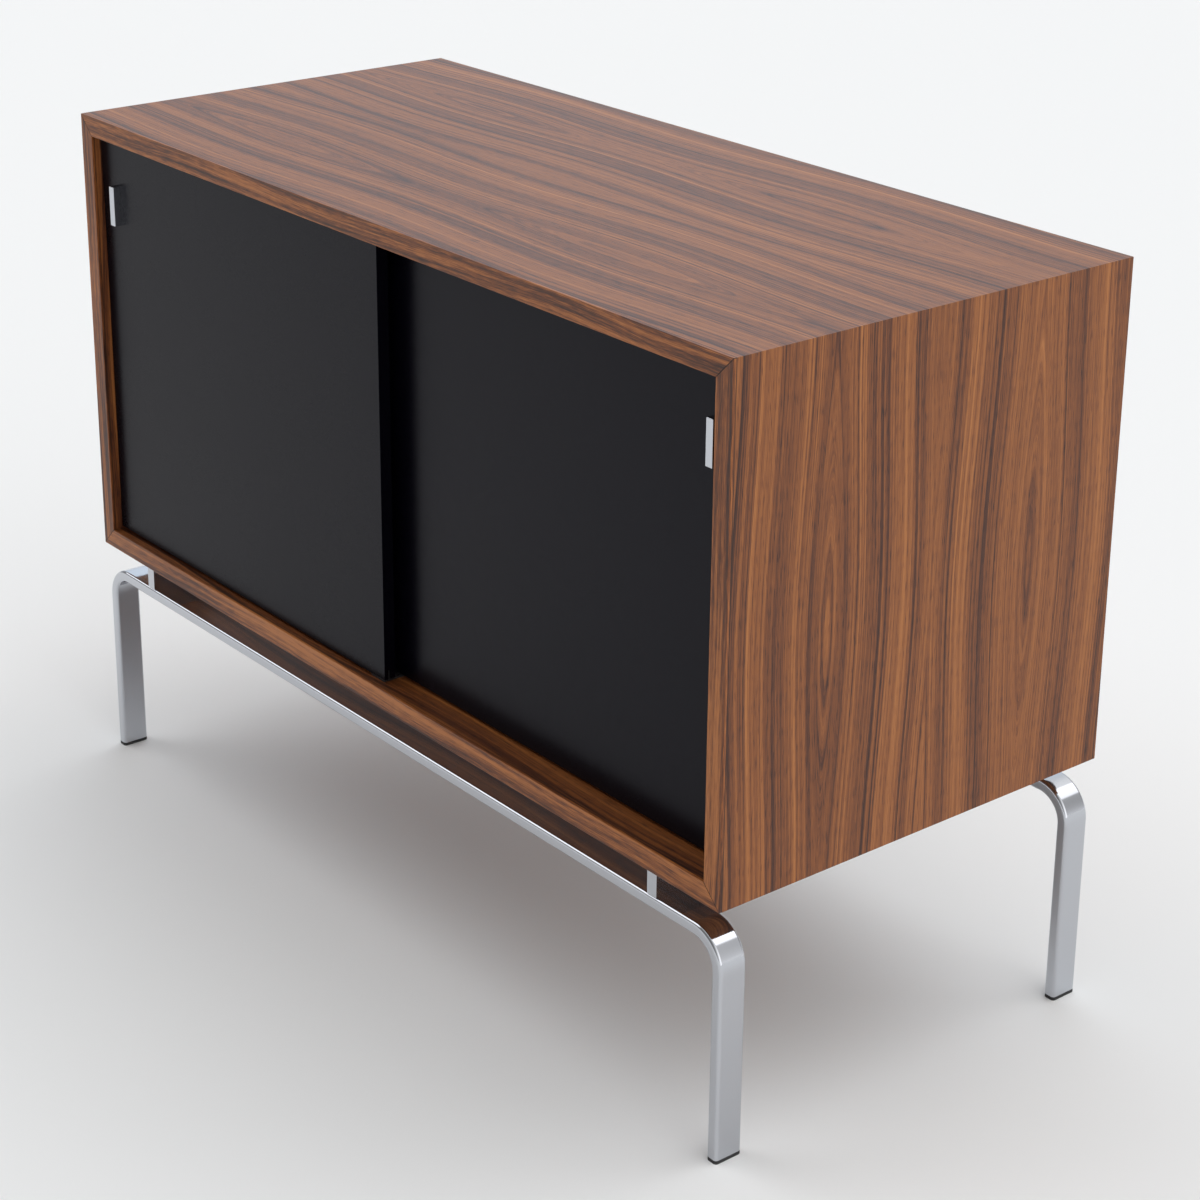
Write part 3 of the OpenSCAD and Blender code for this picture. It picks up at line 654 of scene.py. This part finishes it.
# Bent flat-bar frames
bar = {
    "thickness": 0.012,
    "bend": 0.036,          # outer radius of the bends
    "edge": 0.003,
    "edgeSteps": 7,
    "bendSteps": 28,
    "endBevel": 0.0004,
    "boltHead": (0.0104, 0.0065),       # diameter and depth of the room for a bolt's head
    "bolt": 0.0064,
    "stud": (0.0051, 0.011),            # diameter and depth of the hole for a foot's stud
}


def makeFrame(name):
    # centre line = up one leg, a quarter circle, along the case, a quarter circle, down the other leg
    low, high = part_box(name)
    depth = high.y - low.y
    middleY = (low.y + high.y) / 2
    reach = bar["bend"] - bar["thickness"] / 2
    outline, normals = roundedOutline(bar["thickness"], depth, bar["edge"], bar["edgeSteps"])
    quarter = np.linspace(math.pi, math.pi / 2, bar["bendSteps"])
    turns = np.concatenate([[math.pi] * 2, quarter, math.pi - quarter[::-1], [0] * 2])
    half = len(turns) // 2
    centreX = np.where(np.arange(len(turns)) < half, low.x + bar["bend"], high.x - bar["bend"])
    origins = np.stack([
        centreX + reach * np.cos(turns), np.full(len(turns), middleY),
        high.z - bar["bend"] + reach * np.sin(turns),
    ], -1)
    bevel = bar["endBevel"]
    origins[[0, 1, -2, -1], 2] = low.z + np.array([0, bevel, bevel, 0])
    sides = np.stack([np.cos(turns), np.zeros(len(turns)), np.sin(turns)], -1)
    ups = np.array([[0.0, 1.0, 0.0]]).repeat(len(turns), 0)
    insets = np.zeros(len(turns))
    insets[[0, -1]] = bevel
    piece = solidFromRings(name + "_chrome", [carryOutline(outline, normals, origins, sides, ups, insets)])
    holes = []
    under = high.z - bar["thickness"]
    slack = hole["slack"]
    for crossbar in ("left_crossbar", "right_crossbar"):
        barLow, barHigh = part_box(crossbar)
        x = (barLow.x + barHigh.x) / 2
        wide, deep = bar["boltHead"]
        holes.append(((x, middleY, under - slack), (0, 0, 1), deep + slack, wide))
        holes.append(((x, middleY, under), (0, 0, 1), bar["thickness"] + slack, bar["bolt"]))
    studWide, studDeep = bar["stud"]
    for x in (low.x + bar["thickness"] / 2, high.x - bar["thickness"] / 2):
        holes.append(((x, middleY, low.z - slack), (0, 0, 1), studDeep + slack, studWide))
    cutHoles(piece, holes)
    finishMetal(piece, "case", "chrome", name)


# Door pulls: small solid blocks, rounded but for the two edges on the door
pull = {
    "edge": (0.0001, 0.0001, 0.0010, 0.0010),
    "end": 0.0008,
    "edgeSteps": 6,
    "endSteps": 5,
    "screwPitch": 0.022,
    "screw": (0.0035, 0.0055),          # diameter and depth of a screw's hole
}


def makePull(name, body):
    # z = end * (1 - cos t), inset = end * (1 - sin t) at the lower end, mirrored at the upper end
    low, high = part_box(name)
    middle = (low + high) / 2
    size = high - low
    outline, normals = roundedOutline(size.x, size.y, pull["edge"], pull["edgeSteps"])
    perCorner = pull["edgeSteps"] + 1
    # the back stays flat where the ends round off
    normals[:2 * perCorner] = np.repeat([[1.0, 0.0], [-1.0, 0.0]], perCorner, axis=0)
    turn = np.linspace(0, math.pi / 2, pull["endSteps"] + 1)
    rise = pull["end"] * (1 - np.cos(turn))
    shrink = pull["end"] * (1 - np.sin(turn))
    z = np.concatenate([low.z + rise, (high.z - rise)[::-1]])
    insets = np.concatenate([shrink, shrink[::-1]])
    origins = np.stack([np.full(len(z), middle.x), np.full(len(z), middle.y), z], -1)
    sides = np.array([[1.0, 0, 0]]).repeat(len(z), 0)
    ups = np.array([[0, 1.0, 0]]).repeat(len(z), 0)
    piece = solidFromRings(name + "_chrome", [carryOutline(outline, normals, origins, sides, ups, insets)])
    wide, deep = pull["screw"]
    slack = hole["slack"]
    cutHoles(piece, [
        ((middle.x, high.y + slack, middle.z + reach), (0, -1, 0), deep + slack, wide)
        for reach in (-pull["screwPitch"] / 2, pull["screwPitch"] / 2)
    ])
    finishMetal(piece, body, "chrome", name)


for frameName in ("front_frame", "rear_frame"):
    makeFrame(frameName)
for pullName, doorName in (("left_pull", "left_door"), ("right_pull", "right_door")):
    makePull(pullName, doorName)
print("metal pieces made")


# Softened edges on the boards, doors and crossbars
softEdge = {
    "width": 0.0004,
    "segments": 2,
    "flattest": 30,         # degrees: a flatter edge stays as it is
    "flat": 0.5,            # degrees: flatter triangles are joined first
    "weld": 1e-6,
    "jointRoom": 0.0001,    # edges this near the glued joint behind the lippings stay sharp
}


def makeEdgePicker(name, nearest, farthest):
    # weight = 1 on a sharp edge whose middle lies between two depths
    tree = bpy.data.node_groups.new(name, "GeometryNodeTree")
    for label in ("INPUT", "OUTPUT"):
        tree.interface.new_socket("Geometry", in_out=label, socket_type="NodeSocketGeometry")
    given = tree.nodes.new("NodeGroupInput")
    result = tree.nodes.new("NodeGroupOutput")
    angle = addNode(tree, "GeometryNodeInputMeshEdgeAngle").outputs["Unsigned Angle"]
    place = addNode(tree, "GeometryNodeInputPosition").outputs[0]
    depth = addNode(tree, "ShaderNodeSeparateXYZ", {0: place}).outputs[1]
    sharp = addMath(tree, "GREATER_THAN", angle, math.radians(softEdge["flattest"]))
    behind = addMath(tree, "GREATER_THAN", depth, nearest)
    before = addMath(tree, "LESS_THAN", depth, farthest)
    weight = addMath(tree, "MULTIPLY", sharp, addMath(tree, "MULTIPLY", behind, before))
    store = addNode(tree, "GeometryNodeStoreNamedAttribute", {
        "Geometry": given.outputs[0], "Name": "bevel_weight_edge", "Value": weight,
    }, data_type="FLOAT", domain="EDGE")
    tree.links.new(store.outputs[0], result.inputs[0])
    return tree


def softenEdges(name, picker):
    node = nodes[name]
    weld = node.modifiers.new("weld", "WELD")
    weld.merge_threshold = softEdge["weld"]
    join = node.modifiers.new("join flat faces", "DECIMATE")
    join.decimate_type = "DISSOLVE"
    join.angle_limit = math.radians(softEdge["flat"])
    pick = node.modifiers.new("pick edges", "NODES")
    pick.node_group = picker
    bevel = node.modifiers.new("soften", "BEVEL")
    bevel.limit_method = "WEIGHT"
    bevel.width = softEdge["width"]
    bevel.segments = softEdge["segments"]


room = softEdge["jointRoom"]
pickers = {
    makeEdgePicker("everySharpEdge", -1, 1): (
        "left_door", "right_door", "left_crossbar", "right_crossbar", "partition", "left_shelf",
        "right_shelf", "back_panel",
    ),
    makeEdgePicker("edgesBeforeJoint", -1, lippingJoint - room): tuple(lippings),
    makeEdgePicker("edgesBehindJoint", lippingJoint + room, 1): (
        "top_panel", "bottom_panel", "left_side", "right_side",
    ),
}
for picker, names in pickers.items():
    for name in names:
        softenEdges(name, picker)
print("edges softened")
